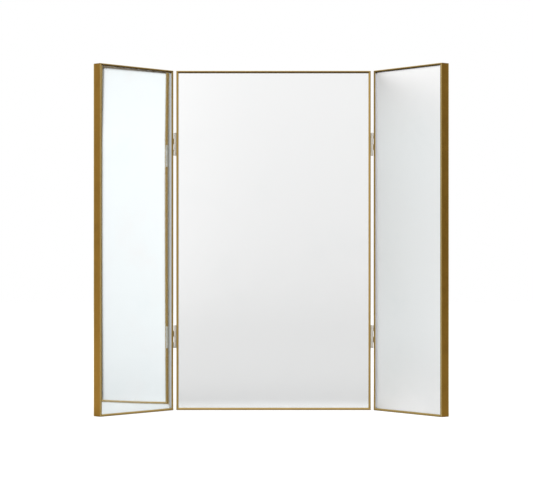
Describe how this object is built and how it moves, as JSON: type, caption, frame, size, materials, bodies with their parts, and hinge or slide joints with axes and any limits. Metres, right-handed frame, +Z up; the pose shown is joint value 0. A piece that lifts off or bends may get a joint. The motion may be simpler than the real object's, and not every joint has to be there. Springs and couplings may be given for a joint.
{
  "type": "tri-fold dressing mirror",
  "caption": "Free-standing folding mirror: a wide centre mirror with half-width wings hinged on both sides, in thin brass frames; the wings fold forward and close over the centre.",
  "frame": {"origin": "on the standing surface, under the middle of the centre panel, half way through its thickness", "axes": "+X to the right seen from the front, +Y to the back of the centre panel, +Z up; the mirrors face -Y"},
  "size_m": [0.6047, 0.1533, 0.6],
  "materials": {
    "brass_frame": "lacquered antique brass, fine lengthwise brushing",
    "mirror": "clear back-silvered float glass",
    "hardboard": "smooth brown hardboard",
    "hinge_metal": "satin nickel-plated steel",
    "corner_keys": "plain mill finish"
  },
  "bodies": {
    "centre_panel": {"centre_left_rail": "brass_frame", "centre_bottom_rail": "brass_frame", "centre_right_rail": "brass_frame", "centre_top_rail": "brass_frame", "centre_lower_left_corner_key": "corner_keys", "centre_lower_right_corner_key": "corner_keys", "centre_upper_right_corner_key": "corner_keys", "centre_upper_left_corner_key": "corner_keys", "centre_mirror_glass": "mirror", "centre_backboard": "hardboard", "left_lower_hinge_centre_leaf": "hinge_metal", "left_lower_hinge_centre_screw_a": "hinge_metal", "left_lower_hinge_centre_screw_b": "hinge_metal", "left_lower_hinge_pin": "hinge_metal", "left_upper_hinge_centre_leaf": "hinge_metal", "left_upper_hinge_centre_screw_a": "hinge_metal", "left_upper_hinge_centre_screw_b": "hinge_metal", "left_upper_hinge_pin": "hinge_metal", "right_lower_hinge_centre_leaf": "hinge_metal", "right_lower_hinge_centre_screw_a": "hinge_metal", "right_lower_hinge_centre_screw_b": "hinge_metal", "right_lower_hinge_pin": "hinge_metal", "right_upper_hinge_centre_leaf": "hinge_metal", "right_upper_hinge_centre_screw_a": "hinge_metal", "right_upper_hinge_centre_screw_b": "hinge_metal", "right_upper_hinge_pin": "hinge_metal"},
    "left_wing": {"left_wing_left_rail": "brass_frame", "left_wing_bottom_rail": "brass_frame", "left_wing_right_rail": "brass_frame", "left_wing_top_rail": "brass_frame", "left_wing_lower_left_corner_key": "corner_keys", "left_wing_lower_right_corner_key": "corner_keys", "left_wing_upper_right_corner_key": "corner_keys", "left_wing_upper_left_corner_key": "corner_keys", "left_wing_mirror_glass": "mirror", "left_wing_backboard": "hardboard", "left_lower_hinge_wing_leaf": "hinge_metal", "left_lower_hinge_wing_screw_a": "hinge_metal", "left_lower_hinge_wing_screw_b": "hinge_metal", "left_upper_hinge_wing_leaf": "hinge_metal", "left_upper_hinge_wing_screw_a": "hinge_metal", "left_upper_hinge_wing_screw_b": "hinge_metal"},
    "right_wing": {"right_wing_left_rail": "brass_frame", "right_wing_bottom_rail": "brass_frame", "right_wing_right_rail": "brass_frame", "right_wing_top_rail": "brass_frame", "right_wing_lower_left_corner_key": "corner_keys", "right_wing_lower_right_corner_key": "corner_keys", "right_wing_upper_right_corner_key": "corner_keys", "right_wing_upper_left_corner_key": "corner_keys", "right_wing_mirror_glass": "mirror", "right_wing_backboard": "hardboard", "right_lower_hinge_wing_leaf": "hinge_metal", "right_lower_hinge_wing_screw_a": "hinge_metal", "right_lower_hinge_wing_screw_b": "hinge_metal", "right_upper_hinge_wing_leaf": "hinge_metal", "right_upper_hinge_wing_screw_a": "hinge_metal", "right_upper_hinge_wing_screw_b": "hinge_metal"}
  },
  "joints": [
    {"name": "left_wing_fold", "type": "hinge", "parent": "centre_panel", "child": "left_wing", "pos_m": [-0.17415, -0.0113, 0.3], "axis": [0, 0, 1], "range_deg": [-47.5, 132.5]},
    {"name": "right_wing_fold", "type": "hinge", "parent": "centre_panel", "child": "right_wing", "pos_m": [0.17415, -0.0113, 0.3], "axis": [0, 0, -1], "range_deg": [-50.5, 129.5]}
  ]
}
